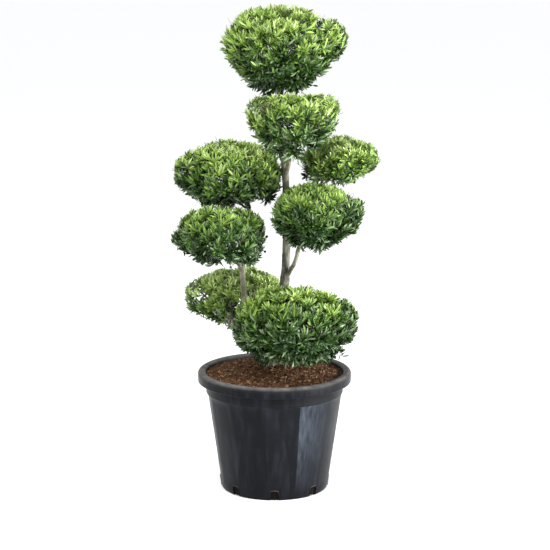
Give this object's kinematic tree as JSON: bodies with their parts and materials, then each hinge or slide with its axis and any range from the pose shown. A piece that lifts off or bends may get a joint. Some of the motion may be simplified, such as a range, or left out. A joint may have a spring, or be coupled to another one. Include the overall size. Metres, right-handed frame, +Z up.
{
  "type": "potted japanese holly cloud topiary",
  "caption": "Japanese holly clipped as a cloud topiary: domed leafy pads on bare boughs round a slim leaning trunk, in a round black plastic nursery pot of bark compost",
  "frame": {"origin": "the middle of the pot's flat underside, at mount base", "axes": "+Z up, +X to the viewer's right from the front, +Y away from the viewer, the front of the plant faces -Y"},
  "size_m": [0.5233, 0.4357, 1.245],
  "materials": {
    "pot_plastic": "semi-gloss charcoal black, dusty on the rim",
    "compost": "loose brown bark and coir",
    "bark": "smooth grey bark, mottled",
    "foliage": "small glossy evergreen leaves"
  },
  "bodies": {
    "root": {"pot": "pot_plastic", "compost": "compost", "trunk": "bark", "left_stem": "bark", "middle_left_bough": "bark", "low_left_bough": "bark", "low_front_bough": "bark", "middle_right_bough": "bark", "upper_right_bough": "bark", "upper_centre_bough": "bark", "top_cloud": "foliage", "upper_centre_cloud": "foliage", "upper_left_cloud": "foliage", "upper_right_cloud": "foliage", "middle_left_cloud": "foliage", "middle_right_cloud": "foliage", "low_left_cloud": "foliage", "low_front_cloud": "foliage"}
  },
  "joints": []
}
